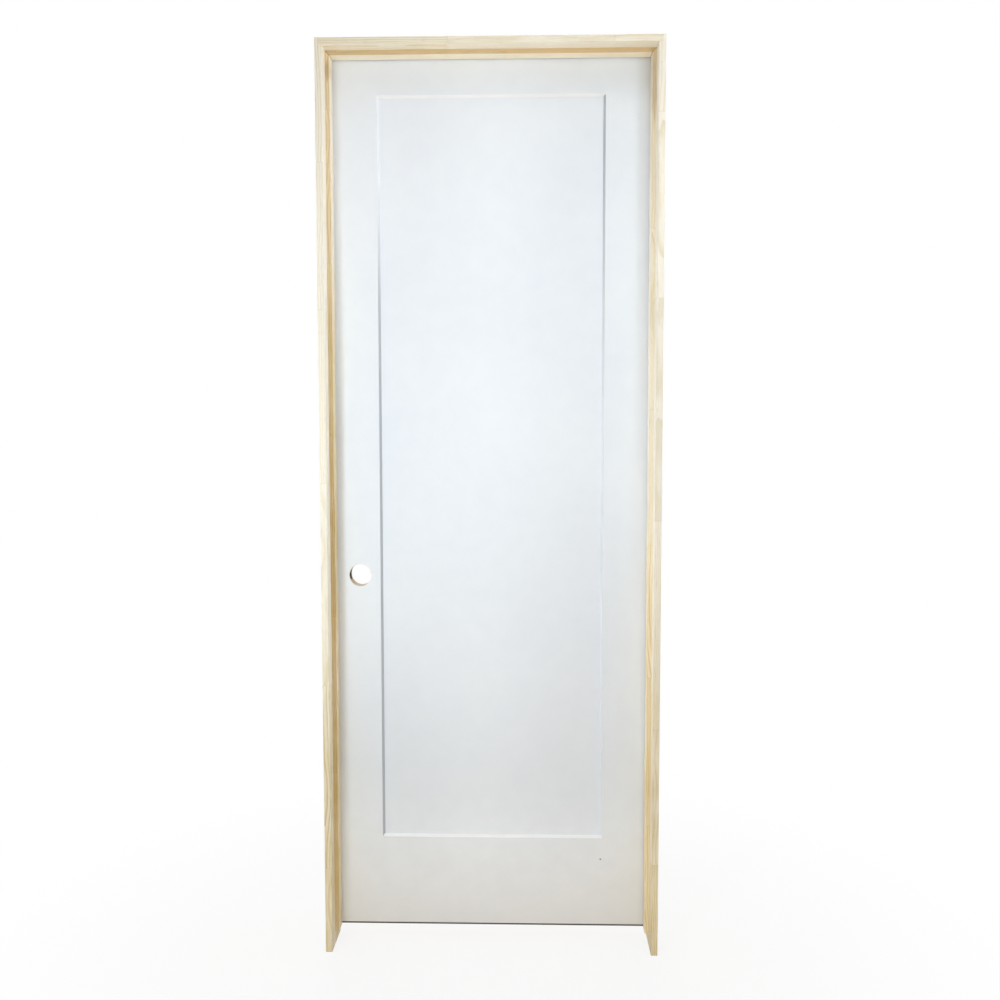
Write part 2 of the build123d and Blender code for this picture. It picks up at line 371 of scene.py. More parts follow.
class WoodEffects:
    """Node groups for the bare pine: finger joints, growth rings and sanded fibres."""

    FINGER_PITCH = 4.4 * MM
    FINGER_LENGTH = 10.0 * MM
    SEED_STEP = 7.31
    BLOCK_SPREAD = 0.8
    GLUE_EASE = (0.5 * MM, 1.1 * MM, 1.0, 0.0)
    FAR_STEP = 91.0
    ASIDE_STEP = 37.0
    PITH_REACH = 0.16
    RING_DRIFT = 0.022
    RING_RIPPLE = 5.0 * MM
    RIPPLE_SQUEEZE = 0.25
    DRIFT_NOISE = (3.2, 1.0)
    RIPPLE_NOISE = (34.0, 2.0)
    LATE_RISE = (0.35, 0.9)
    LATE_DROP = (0.93, 1.0, 1.0, 0.0)
    STREAK_SQUEEZE = (1.0, 1.0, 0.012)
    STREAK_NOISE = (900.0, 3.0, 0.6)
    FLECK_SQUEEZE = (1.0, 1.0, 0.03)
    FLECK_NOISE = (1500.0, 0.0)
    FLECK_EASE = (0.7, 0.78)
    FLECK_DEPTH = 0.5
    CHATTER_PITCH = 2.2 * MM
    CHATTER_HEIGHT = 0.06

    def __init__(self) -> None:
        """Builds the groups once."""
        self.joints = self.build_joints()
        self.rings = self.build_rings()
        self.fibres = self.build_fibres()

    def build_joints(self) -> bpy.types.NodeTree:
        """Builds the blocks that a board is glued up from.

        Returns:
            A group that gives each block its own random colour, and marks the zigzag glue lines.
        """
        maker = GroupMaker(
            "finger_joints",
            {"Along": SocketKind.VECTOR, "Block Length": SocketKind.VALUE, "Seed": SocketKind.VALUE},
            {"Block": SocketKind.COLOR, "Glue Line": SocketKind.VALUE},
        )
        g = maker.graph
        _, across, along = g.split(maker.source["Along"])
        zigzag = g.math("PINGPONG", across, self.FINGER_PITCH / 2)
        zigzag = g.math("MULTIPLY", zigzag, 2 * self.FINGER_LENGTH / self.FINGER_PITCH)
        place = g.plus(g.math("ADD", along, zigzag), maker.source["Seed"], self.SEED_STEP)
        place = g.math("DIVIDE", place, maker.source["Block Length"])
        cells = g.node("TexVoronoi", voronoi_dimensions="1D", feature="F1")
        edges = g.node("TexVoronoi", voronoi_dimensions="1D", feature="DISTANCE_TO_EDGE")
        for cell in (cells, edges):
            g.feed(cell.inputs["W"], place)
            g.feed(cell.inputs["Scale"], 1.0)
            g.feed(cell.inputs["Randomness"], self.BLOCK_SPREAD)
        distance = g.math("MULTIPLY", edges.outputs["Distance"], maker.source["Block Length"])
        return maker.give(Block=cells.outputs["Color"], Glue_Line=g.ramp(distance, *self.GLUE_EASE))

    def build_rings(self) -> bpy.types.NodeTree:
        """Builds growth rings that run through the solid board, about a pith of each block's own.

        Returns:
            A group that gives the share of dark latewood at each point, and a slow wandering tone.
        """
        maker = GroupMaker(
            "growth_rings",
            {"Along": SocketKind.VECTOR, "Block": SocketKind.COLOR, "Ring Spacing": SocketKind.VALUE},
            {"Latewood": SocketKind.VALUE, "Tone": SocketKind.VALUE},
        )
        g = maker.graph
        red, green, blue = g.channels(maker.source["Block"])
        x, y, z = g.split(maker.source["Along"])
        far = g.math("MULTIPLY", blue, self.FAR_STEP)
        aside = g.math("MULTIPLY", green, self.ASIDE_STEP)
        drift = g.noise(g.join(far, aside, z), *self.DRIFT_NOISE)
        ripple = g.noise(g.join(x, y, g.plus(far, z, self.RIPPLE_SQUEEZE)), *self.RIPPLE_NOISE)
        side = g.math("ADD", x, g.swing(red, self.PITH_REACH))
        front = g.math("ADD", y, g.swing(green, self.PITH_REACH))
        reach = g.math("SQRT", g.squares(side, front))
        reach = g.math("ADD", reach, g.swing(drift, self.RING_DRIFT))
        reach = g.math("ADD", reach, g.swing(ripple, self.RING_RIPPLE))
        phase = g.math("FRACT", g.math("DIVIDE", reach, maker.source["Ring Spacing"]))
        latewood = g.math("MULTIPLY", g.ramp(phase, *self.LATE_RISE), g.ramp(phase, *self.LATE_DROP))
        return maker.give(Latewood=latewood, Tone=ripple)

    def build_fibres(self) -> bpy.types.NodeTree:
        """Builds the fine sanded fibres, resin flecks and planer chatter.

        Returns:
            A group that gives streaks, dark resin flecks and a height.
        """
        maker = GroupMaker(
            "sanded_fibres",
            {"Along": SocketKind.VECTOR, "Block": SocketKind.COLOR},
            {"Streak": SocketKind.VALUE, "Fleck": SocketKind.VALUE, "Height": SocketKind.VALUE},
        )
        g = maker.graph
        placed = g.vector("ADD", maker.source["Along"], maker.source["Block"])
        streak = g.noise(g.stretch(placed, self.STREAK_SQUEEZE), *self.STREAK_NOISE)
        fleck = g.noise(g.stretch(placed, self.FLECK_SQUEEZE), *self.FLECK_NOISE)
        fleck = g.ramp(fleck, *self.FLECK_EASE)
        _, _, z = g.split(placed)
        chatter = g.math("SINE", g.math("MULTIPLY", z, 2 * math.pi / self.CHATTER_PITCH))
        height = g.plus(streak, chatter, self.CHATTER_HEIGHT)
        return maker.give(Streak=streak, Fleck=fleck, Height=g.plus(height, fleck, -self.FLECK_DEPTH))


class SurfaceEffects:
    """Node groups shared by finishes: soft clouding, handling marks and round or square cut masks."""

    BROAD_DETAIL = 2.0
    CLOSE_DETAIL = 3.0
    CLOSE_STEP = 9.0
    GATHER_NOISE = (5.0, 1.0)
    GATHER_EASE = 0.1
    SCUFF_SQUEEZE = (1.0, 1.0, 0.2)
    SCUFF_NOISE = (420.0, 2.0, 0.4)
    SCUFF_EASE = (0.62, 0.74)

    def __init__(self) -> None:
        """Builds the groups once."""
        self.clouds = self.build_clouds()
        self.marks = self.build_marks()
        self.bored = self.build_bored()
        self.boxed = self.build_boxed()

    def build_clouds(self) -> bpy.types.NodeTree:
        """Builds uneven tone.

        Returns:
            A group that gives the tone at two scales, each centred on zero.
        """
        maker = GroupMaker(
            "uneven_tone",
            {"Place": SocketKind.VECTOR, "Size": SocketKind.VALUE},
            {"Broad": SocketKind.VALUE, "Close": SocketKind.VALUE},
        )
        g = maker.graph
        place = maker.source["Place"]
        scale = g.math("DIVIDE", 1.0, maker.source["Size"])
        broad = g.noise(place, scale, self.BROAD_DETAIL)
        close = g.noise(place, g.math("MULTIPLY", scale, self.CLOSE_STEP), self.CLOSE_DETAIL)
        return maker.give(Broad=g.math("SUBTRACT", broad, 0.5), Close=g.math("SUBTRACT", close, 0.5))

    def build_marks(self) -> bpy.types.NodeTree:
        """Builds sparse handling scuffs: short streaks gathered in a few places.

        Returns:
            A group that gives a mask of the scuffs.
        """
        maker = GroupMaker(
            "handling_scuffs",
            {"Place": SocketKind.VECTOR, "Spread": SocketKind.VALUE},
            {"Scuff": SocketKind.VALUE},
        )
        g = maker.graph
        place, spread = maker.source["Place"], maker.source["Spread"]
        here = g.ramp(g.noise(place, *self.GATHER_NOISE), spread, g.math("ADD", spread, self.GATHER_EASE))
        lines = g.noise(g.stretch(place, self.SCUFF_SQUEEZE), *self.SCUFF_NOISE)
        return maker.give(Scuff=g.math("MULTIPLY", here, g.ramp(lines, *self.SCUFF_EASE)))

    def build_bored(self) -> bpy.types.NodeTree:
        """Builds a mask for the wall of a bore.

        Returns:
            A group that is 1 within a radius of a line through Centre, with the vector across that line.
        """
        maker = GroupMaker(
            "bored_wall",
            {
                "Place": SocketKind.VECTOR,
                "Centre": SocketKind.VECTOR,
                "Across": SocketKind.VECTOR,
                "Radius": SocketKind.VALUE,
            },
            {"Inside": SocketKind.VALUE},
        )
        g = maker.graph
        apart = g.vector("SUBTRACT", maker.source["Place"], maker.source["Centre"])
        length = g.vector("LENGTH", g.stretch(apart, maker.source["Across"]))
        return maker.give(Inside=g.math("LESS_THAN", length, maker.source["Radius"]))

    def build_boxed(self) -> bpy.types.NodeTree:
        """Builds a mask for a square cut.

        Returns:
            A group that is 1 inside a box of a half size round Centre.
        """
        maker = GroupMaker(
            "boxed_cut",
            {"Place": SocketKind.VECTOR, "Centre": SocketKind.VECTOR, "Half": SocketKind.VECTOR},
            {"Inside": SocketKind.VALUE},
        )
        g = maker.graph
        apart = g.vector("SUBTRACT", maker.source["Place"], maker.source["Centre"])
        spare = g.vector("SUBTRACT", maker.source["Half"], g.vector("ABSOLUTE", apart))
        x, y, z = g.split(spare)
        least = g.math("MINIMUM", x, g.math("MINIMUM", y, z))
        return maker.give(Inside=g.math("GREATER_THAN", least, 0.0))


@dataclass(frozen=True)
class PineFinish:
    """Bare sanded pine.

    Attributes:
        early: Pale earlywood colour.
        late: Darker latewood colour.
        warm: Colour that the warmer blocks lean to.
        cool: Colour that the cooler blocks lean to.
        edge: Tone that the board's front face is multiplied by, which on the head stop is painted shade.
        pale: Colour that the wood leans to higher up.
        tan: Colour that the wood leans to lower down.
        pale_from: Height at which the wood starts to pale.
        pale_to: Height from which the wood is palest.
        pitch: Colour of the dark patch near a board's top, which on the hinge stop is painted shade, and of
            an open mitre.
        ring_spacing: Distance between growth rings.
        block_length: Mean length of the glued-up blocks.
        rough: Roughness of the sanded face.
        gloss: Specular level of the sanded face.
        relief: Strength of the grain's relief.
        relief_depth: Depth of the grain's relief.
    """

    early: Color = paint(254, 249, 238)
    late: Color = paint(214, 194, 142)
    warm: Color = paint(251, 242, 220)
    cool: Color = paint(250, 246, 228)
    edge: Color = paint(250, 248, 242)
    pale: Color = paint(255, 252, 244)
    tan: Color = paint(225, 207, 158)
    pale_from: float = -1.0
    pale_to: float = 0.1
    pitch: Color = paint(172, 132, 70)
    ring_spacing: float = 4.2 * MM
    block_length: float = 0.44
    rough: float = 0.62
    gloss: float = 0.3
    relief: float = 0.25
    relief_depth: float = 0.25 * MM


@dataclass(frozen=True)
class PrimerFinish:
    """White factory primer over a tan board core.

    Attributes:
        white: Main colour.
        shade: Colour that it leans to in soft clouds.
        grime: Colour of the worn foot and of scuffs.
        core: Colour of the cut core.
        groove_shade: Colour of the painted shade on the stiles' sticking.
        clean: Colour of the painted highlight on the rails' sticking.
        fibre: Colour of the chips in the cut core.
        bore_shade: Colour inside the latch bore, painted shade of the deep hole.
        nick: Colour of the nick and of the line along the foot.
        rough: Roughness of the face.
        gloss: Specular level of the face.
        relief: Strength of the roller stipple.
        relief_depth: Depth of the roller stipple.
    """

    white: Color = paint(241, 246, 252)
    shade: Color = paint(230, 236, 246)
    grime: Color = paint(222, 214, 200)
    core: Color = paint(226, 212, 192)
    groove_shade: Color = paint(178, 182, 190)
    clean: Color = paint(255, 255, 255)
    fibre: Color = paint(190, 166, 132)
    bore_shade: Color = paint(96, 80, 58)
    nick: Color = paint(92, 84, 76)
    rough: float = 0.5
    gloss: float = 0.35
    relief: float = 0.2
    relief_depth: float = 0.15 * MM


@dataclass(frozen=True)
class SteelFinish:
    """Satin nickel plate, with the painted shade of its countersinks round the screw heads.

    Attributes:
        plate: Bright plate.
        dull: Dulled patches.
        rim: Dark colour of the painted countersink shade round a screw head.
        rim_pale: Lighter colour of that painted shade.
        rough: Roughness of the plate.
        rim_rough: Roughness of a rim.
        rim_metal: How metallic a rim is.
        relief: Strength of the brushing's relief.
        relief_depth: Depth of the brushing's relief.
    """

    plate: Color = paint(196, 190, 182)
    dull: Color = paint(150, 144, 134)
    rim: Color = paint(40, 38, 36)
    rim_pale: Color = paint(74, 70, 66)
    rough: float = 0.3
    rim_rough: float = 0.6
    rim_metal: float = 0.6
    relief: float = 0.12
    relief_depth: float = 0.05 * MM


@dataclass
class Board:
    """One pine board of the jamb set.

    Attributes:
        node: CAD node that it dresses.
        way: Way the grain runs.
        finish: The board's pine.
        seed: Picks the board's run of blocks.
        dark_patch_drop: How far under the board's top the middle of its dark patch lies; on the hinge stop
            this patch is painted shade of the hinge jamb.
        dark_patch_half: Half the length of that patch, or 0 for none.
        mitred: Whether the board's ends are mitred to its neighbours.
    """

    node: str
    way: GrainWay
    finish: PineFinish
    seed: float
    dark_patch_drop: float = 0.0
    dark_patch_half: float = 0.0
    mitred: bool = False

    CLOUD_SIZE = 0.3
    WARM_EASE = (0.45, 1.0, 0.0, 0.75)
    COOL_EASE = (0.5, 1.0, 0.0, 0.6)
    PALE_SHARE = {GrainWay.UPRIGHT: 0.75, GrainWay.LEVEL: 0.2}
    TAN_SHARE = {GrainWay.UPRIGHT: 0.5, GrainWay.LEVEL: 0.6}
    TAN_LOSS = 0.5
    TAN_EASE = (0.35, 0.65, 0.5, 1.4)
    LATE_EASE = (0.0, 1.0, 0.45, 0.95)
    LATE_SHARE = 0.9
    LATE_LOSS = 0.48
    LATE_HEIGHT = 0.6
    STREAK_TONE = 0.22
    STREAK_ROUGH = 0.25
    CLOUD_TONE = 0.1
    FLECK_TONE = 0.16
    GLUE_TONE = 0.08
    EDGE_EASE = (0.3 * MM, 1.4 * MM, 1.0, 0.0)
    DARK_PATCH_SIDE = 7.0 * MM
    DARK_PATCH_RAGGED = 2.2
    DARK_PATCH_EASE = (0.1, 1.1, 0.42, 0.0)
    MITRE_EASE = (0.5 * MM, 1.3 * MM, 0.8, 0.0)

    def along(self, g: Graph, place: Socket) -> Socket:
        """Turns Object coordinates to the board's own line, with Z along the grain.

        Args:
            g: Graph of the material.
            place: Object coordinates.

        Returns:
            The turned coordinates.
        """
        low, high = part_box(self.node)
        middle = (low + high) / 2
        mapping = g.fed(g.node("Mapping"), place)
        if self.way is GrainWay.UPRIGHT:
            mapping.inputs["Location"].default_value = (-middle.x, -middle.y, 0.0)
        else:
            mapping.inputs["Rotation"].default_value = (0.0, -math.pi / 2, 0.0)
            mapping.inputs["Location"].default_value = (middle.z, -middle.y, 0.0)
        return mapping.outputs[0]

    def dark_patch_and_mitre(self, g: Graph, place: Socket, streak: Socket) -> Socket | float:
        """Masks the board's dark patch near its top, which on the hinge stop is painted shade, and the open
        line of its mitres.

        Args:
            g: Graph of the material.
            place: Object coordinates.
            streak: The board's fibres.

        Returns:
            A mask of both, or 0 for a board with neither.
        """
        x, _, z = g.split(place)
        low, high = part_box(self.node)
        dark_mask = 0.0
        if self.dark_patch_half:
            rise = g.math("DIVIDE", g.math("SUBTRACT", z, high.z - self.dark_patch_drop), self.dark_patch_half)
            side = g.math("DIVIDE", g.math("SUBTRACT", x, (low.x + high.x) / 2), self.DARK_PATCH_SIDE)
            far = g.math("ADD", g.squares(rise, side), g.swing(streak, self.DARK_PATCH_RAGGED))
            dark_mask = g.ramp(far, *self.DARK_PATCH_EASE)
        if self.mitred:
            left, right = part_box("strike_stop")[0].x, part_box("hinge_stop")[1].x
            inward = g.math("MINIMUM", g.math("SUBTRACT", x, left), g.math("SUBTRACT", right, x))
            gap = g.math("SUBTRACT", inward, g.math("SUBTRACT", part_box("head_stop")[1].z, z))
            dark_mask = g.math("MAXIMUM", dark_mask, g.ramp(g.math("ABSOLUTE", gap), *self.MITRE_EASE))
        return dark_mask

    def dress(self, wood: WoodEffects, effects: SurfaceEffects) -> None:
        """Gives the CAD node its pine.

        Args:
            wood: Wood effect groups.
            effects: Shared surface groups.
        """
        pine = self.finish
        material, g, place = new_material(f"pine_{self.node}")
        _, y, z = g.split(place)
        along = self.along(g, place)
        joints = g.place(wood.joints, Along=along, Block_Length=pine.block_length, Seed=self.seed)
        block = joints["Block"]
        rings = g.place(wood.rings, Along=along, Block=block, Ring_Spacing=pine.ring_spacing)
        fibres = g.place(wood.fibres, Along=along, Block=block)
        clouds = g.place(effects.clouds, Place=place, Size=self.CLOUD_SIZE)
        warmth, coolness, depth = g.channels(block)
        color = g.mix(g.ramp(warmth, *self.WARM_EASE), pine.early, pine.warm)
        color = g.mix(g.ramp(coolness, *self.COOL_EASE), color, pine.cool)
        raised = g.ramp(z, pine.pale_from, pine.pale_to)
        color = g.mix(g.math("MULTIPLY", raised, self.PALE_SHARE[self.way]), color, pine.pale)
        lowered = g.plus(self.TAN_SHARE[self.way], raised, -self.TAN_LOSS)
        lowered = g.math("MULTIPLY", lowered, g.ramp(rings["Tone"], *self.TAN_EASE))
        color = g.mix(lowered, color, pine.tan)
        late = g.math("MULTIPLY", rings["Latewood"], g.ramp(depth, *self.LATE_EASE))
        late = g.math("MULTIPLY", late, g.plus(self.LATE_SHARE, raised, -self.LATE_LOSS))
        color = g.mix(late, color, pine.late)
        # Darkens the patch near the top and the open mitres; the hinge stop's patch is painted shade of the
        # hinge jamb.
        color = g.mix(self.dark_patch_and_mitre(g, place, fibres["Streak"]), color, pine.pitch)
        tone = g.math("ADD", 1.0, g.swing(fibres["Streak"], self.STREAK_TONE))
        tone = g.plus(tone, clouds["Broad"], self.CLOUD_TONE)
        tone = g.plus(tone, fibres["Fleck"], -self.FLECK_TONE)
        color = g.toned(color, g.plus(tone, joints["Glue Line"], -self.GLUE_TONE))
        # Darkens the front face by the finish's front tone; on the head stop this is painted shade of the
        # head jamb standing in front of it.
        darkened_front = g.ramp(g.math("SUBTRACT", y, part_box(self.node)[0].y), *self.EDGE_EASE)
        color = g.mix(darkened_front, color, g.mix(1.0, color, pine.edge, "MULTIPLY"))
        rough = g.math("ADD", pine.rough, g.swing(fibres["Streak"], self.STREAK_ROUGH))
        shader = g.surface(color, rough, Specular_IOR_Level=pine.gloss)
        height = g.plus(fibres["Height"], rings["Latewood"], self.LATE_HEIGHT)
        g.bump(shader, height, pine.relief, pine.relief_depth)
        put_on(self.node, material)


@dataclass
class JambSet:
    """The bare pine legs and head with their planted stops.

    Attributes:
        leg: Pine of the legs and the head.
        stop: Pine of the strike stop.
        lit_stop: Paler copy of the stop pine for the hinge stop, partly the wood's own tone and partly
            painted light for the light falling on that side.
        shaded_front: The same with its front face darkened to golden by painted shade of the head jamb, for
            the head stop.
    """

    leg: PineFinish = PineFinish()
    stop: PineFinish = PineFinish(
        early=paint(250, 241, 222),
        late=paint(206, 176, 122),
        warm=paint(248, 230, 200),
        cool=paint(242, 235, 206),
        edge=paint(240, 232, 214),
        pale=paint(254, 246, 228),
        tan=paint(226, 202, 146),
        pale_from=-0.1,
        pale_to=1.0,
        ring_spacing=3.4 * MM,
        block_length=0.36,
    )
    # A paler copy of the stop pine: partly the wood's own tone, partly painted light on the hinge stop.
    lit_stop: PineFinish = replace(
        stop,
        early=paint(255, 249, 236),
        late=paint(226, 202, 152),
        warm=paint(254, 240, 214),
        cool=paint(250, 244, 222),
        edge=paint(250, 246, 236),
        pale=paint(255, 252, 242),
        tan=paint(240, 222, 174),
        pale_from=-0.7,
        pale_to=0.4,
    )
    # The head stop's golden front tone is painted shade.
    shaded_front: PineFinish = replace(lit_stop, edge=paint(218, 201, 172))

    def boards(self) -> list[Board]:
        """Lists the six boards with their grain and seed.

        Returns:
            The legs and the head, then their stops.
        """
        return [
            Board("strike_jamb", GrainWay.UPRIGHT, self.leg, 3.0),
            Board("hinge_jamb", GrainWay.UPRIGHT, self.leg, 11.0),
            Board("head_jamb", GrainWay.LEVEL, self.leg, 5.0),
            Board("strike_stop", GrainWay.UPRIGHT, self.stop, 8.0, 0.045, 0.03, True),
            # Its dark patch near the top is painted shade of the hinge jamb.
            Board("hinge_stop", GrainWay.UPRIGHT, self.lit_stop, 17.0, 0.07, 0.12, True),
            Board("head_stop", GrainWay.LEVEL, self.shaded_front, 23.0, mitred=True),
        ]

    def dress(self, wood: WoodEffects, effects: SurfaceEffects) -> None:
        """Dresses every board of the set.

        Args:
            wood: Wood effect groups.
            effects: Shared surface groups.
        """
        for board in self.boards():
            board.dress(wood, effects)
            log.info("dressed %s", board.node)


@dataclass
class Slab:
    """The primed slab: stiles, rails and flat panel, with raw core where it is cut.

    Attributes:
        finish: The primer.
        nick_x: Place of the nick across the slab.
        nick_up: Height of the nick over the slab's foot.
        nick_size: Reach of the nick.
        nick_ragged: How far the nick's rim wanders.
        nick_depth: How far behind the face the nick reaches.
        skin: Depth over which a cut's raw core shows at its rim.
        sticking: Width of the bevelled sticking round the panel.
        seat_half_width: Half the width of the latch plate's seat.
        seat_half_height: Half the height of the latch plate's seat.
        head_highlight: Strength of the painted highlight on the top rail's sticking, where the bottom rail's
            is 1.
        nodes: CAD nodes that it dresses.
    """

    finish: PrimerFinish = PrimerFinish()
    nick_x: float = -0.1337
    nick_up: float = 0.1694
    nick_size: float = 3.0 * MM
    nick_ragged: float = 2.0 * MM
    nick_depth: float = 1.0 * MM
    skin: float = 0.15 * MM
    sticking: float = 4.5 * MM
    seat_half_width: float = 12.7 * MM
    seat_half_height: float = 28.6 * MM
    head_highlight: float = 0.45
    nodes: tuple[str, ...] = ("lock_stile", "hinge_stile", "top_rail", "bottom_rail", "panel")

    CLOUD_SIZE = 0.35
    CLOUD_LEAN = 0.4
    CLOSE_LEAN = 0.5
    CLOSE_ROUGH = 0.15
    SCUFF_SPREAD = 0.6
    SCUFF_SHARE = 0.1
    GRIME_RAGGED = 0.1
    GRIME_EASE = (0.0, 0.32, 0.3, 0.0)
    FOOT_EASE = (3.6 * MM, 4.6 * MM, 1.0, 0.0)
    LOCK_SHADE = (0.4, 0.85, 0.85, 0.0)
    HINGE_SHADE = (0.2, 0.9, 0.2, 0.8)
    NICK_NOISE = (500.0, 2.0)
    NICK_CORE = 0.3
    NICK_SHARE = 0.8
    NICK_HEIGHT = 4.0
    CHIP_NOISE = (700.0, 3.0, 0.7)
    CHIP_SHARE = 0.6
    CHIP_HEIGHT = 2.0
    CORE_ROUGH = 0.3
    STIPPLE_NOISE = (620.0, 2.0, 0.55)
    ROLLER_SQUEEZE = (1.0, 1.0, 0.06)
    ROLLER_NOISE = (240.0, 1.0)
    ROLLER_HEIGHT = 0.5

    def raw_core(self, g: Graph, place: Socket, effects: SurfaceEffects) -> tuple[Socket, Socket]:
        """Masks the cuts that go through the primer.

        Args:
            g: Graph of the material.
            place: Object coordinates.
            effects: Shared surface groups.

        Returns:
            A mask of the bored walls, the latch seat and the slab's foot, and one of the painted shade inside
            the latch bore.
        """
        lock, latch = MOUNTS["lock_bore"], MOUNTS["latch_bore"]
        low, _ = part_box("lock_stile")
        bored, latch_shade = (
            g.place(
                effects.bored,
                Place=place,
                Centre=mount["pos_m"],
                Across=across,
                Radius=mount["dims"]["r_mm"] * MM + self.skin,
            )["Inside"]
            for mount, across in ((lock, (1.0, 0.0, 1.0)), (latch, (0.0, 1.0, 1.0)))
        )
        half = (lock["pos_m"][0] - low.x) / 2
        latched = g.place(
            effects.boxed,
            Place=place,
            Centre=(low.x + half, latch["pos_m"][1], latch["pos_m"][2]),
            Half=(half + self.skin, self.seat_half_width + self.skin, self.seat_half_height + self.skin),
        )["Inside"]
        _, _, z = g.split(place)
        foot = g.math("LESS_THAN", z, low.z + self.skin)
        core = g.math("MAXIMUM", g.math("MAXIMUM", bored, latched), foot)
        return core, g.math("MULTIPLY", latch_shade, latched)

    def on_sticking(self, g: Graph, value: Socket, middle: float) -> Socket:
        """Masks the sticking's width about its middle line."""
        apart = g.math("ABSOLUTE", g.math("SUBTRACT", value, middle))
        return g.math("LESS_THAN", apart, self.sticking / 2 + self.skin)

    def sticking_shade(self, g: Graph, place: Socket) -> Socket:
        """Masks the painted shade on the sticking of both stiles, on the stop side.

        Args:
            g: Graph of the material.
            place: Object coordinates.

        Returns:
            A mask that is strong low on the lock stile and high on the hinge stile.
        """
        x, y, z = g.split(place)
        low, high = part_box("lock_stile")
        reach = self.sticking / 2
        lock = self.on_sticking(g, x, high.x - reach)
        hinge = self.on_sticking(g, x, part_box("hinge_stile")[0].x + reach)
        lock = g.math("MULTIPLY", lock, g.ramp(z, *self.LOCK_SHADE))
        hinge = g.math("MULTIPLY", hinge, g.ramp(z, *self.HINGE_SHADE))
        over = g.math("GREATER_THAN", z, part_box("bottom_rail")[1].z - reach)
        under = g.math("LESS_THAN", z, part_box("top_rail")[0].z + reach)
        front = g.math("LESS_THAN", y, (low.y + high.y) / 2)
        inside = g.math("MULTIPLY", front, g.math("MULTIPLY", over, under))
        return g.math("MULTIPLY", g.math("MAXIMUM", lock, hinge), inside)

    def rail_highlight(self, g: Graph, place: Socket) -> Socket:
        """Masks the painted highlight on the sticking of both rails.

        Args:
            g: Graph of the material.
            place: Object coordinates.

        Returns:
            A mask that is full on the bottom rail and weaker on the top rail.
        """
        x, _, z = g.split(place)
        reach = self.sticking / 2
        foot = self.on_sticking(g, z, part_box("bottom_rail")[1].z - reach)
        head = self.on_sticking(g, z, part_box("top_rail")[0].z + reach)
        past_lock = g.math("GREATER_THAN", x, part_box("lock_stile")[1].x - reach)
        past_hinge = g.math("LESS_THAN", x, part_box("hinge_stile")[0].x + reach)
        rails = g.math("MAXIMUM", foot, g.math("MULTIPLY", head, self.head_highlight))
        return g.math("MULTIPLY", rails, g.math("MULTIPLY", past_lock, past_hinge))

    def nick_mask(self, g: Graph, place: Socket, low: Vector) -> Socket:
        """Masks the one small nick in the bottom rail's stop-side face.

        Args:
            g: Graph of the material.
            place: Object coordinates.
            low: Lowest corner of the bottom rail.

        Returns:
            A soft mask with a ragged rim.
        """
        x, y, z = g.split(place)
        across = g.math("SUBTRACT", x, self.nick_x)
        up = g.math("SUBTRACT", z, low.z + self.nick_up)
        far = g.math("SQRT", g.squares(across, up))
        far = g.math("ADD", far, g.swing(g.noise(place, *self.NICK_NOISE), self.nick_ragged))
        near = g.ramp(far, self.NICK_CORE * self.nick_size, self.nick_size, self.NICK_SHARE, 0.0)
        return g.math("MULTIPLY", near, g.math("LESS_THAN", y, low.y + self.nick_depth))

    def dress(self, effects: SurfaceEffects) -> None:
        """Gives the slab's nodes their primer.

        Args:
            effects: Shared surface groups.
        """
        low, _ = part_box("bottom_rail")
        finish = self.finish
        material, g, place = new_material("primed_white")
        clouds = g.place(effects.clouds, Place=place, Size=self.CLOUD_SIZE)
        scuff = g.place(effects.marks, Place=place, Spread=self.SCUFF_SPREAD)["Scuff"]
        lean = g.plus(clouds["Broad"], clouds["Close"], self.CLOSE_LEAN)
        color = g.mix(g.math("ADD", self.CLOUD_LEAN, lean, clamp=True), finish.white, finish.shade)
        _, _, z = g.split(place)
        rise = g.math("SUBTRACT", z, low.z)
        grime = g.ramp(g.plus(rise, clouds["Close"], -self.GRIME_RAGGED), *self.GRIME_EASE)
        color = g.mix(grime, color, finish.grime)
        color = g.mix(g.math("MULTIPLY", scuff, self.SCUFF_SHARE), color, finish.grime)
        color = g.mix(g.ramp(rise, *self.FOOT_EASE), color, finish.nick)
        # Painted shade on the stiles' sticking.
        color = g.mix(self.sticking_shade(g, place), color, finish.groove_shade)
        # Painted highlight on the rails' sticking.
        color = g.mix(self.rail_highlight(g, place), color, finish.clean)
        nicked = self.nick_mask(g, place, low)
        color = g.mix(nicked, color, finish.nick)
        core, latch_shade = self.raw_core(g, place, effects)
        chips = g.noise(place, *self.CHIP_NOISE)
        chipped = g.mix(g.math("MULTIPLY", chips, self.CHIP_SHARE), finish.core, finish.fibre)
        color = g.mix(core, color, chipped)
        # Painted shade inside the latch bore.
        color = g.mix(latch_shade, color, finish.bore_shade)
        stipple = g.noise(place, *self.STIPPLE_NOISE)
        roller = g.noise(g.stretch(place, self.ROLLER_SQUEEZE), *self.ROLLER_NOISE)
        height = g.plus(stipple, roller, self.ROLLER_HEIGHT)
        height = g.plus(height, nicked, -self.NICK_HEIGHT)
        height = g.math("ADD", height, g.math("MULTIPLY", core, g.math("MULTIPLY", chips, self.CHIP_HEIGHT)))
        rough = g.plus(finish.rough, clouds["Close"], self.CLOSE_ROUGH)
        rough = g.plus(rough, core, self.CORE_ROUGH)
        shader = g.surface(color, rough, Specular_IOR_Level=finish.gloss)
        g.bump(shader, height, finish.relief, finish.relief_depth)
        for node in self.nodes:
            put_on(node, material)
            log.info("dressed %s", node)


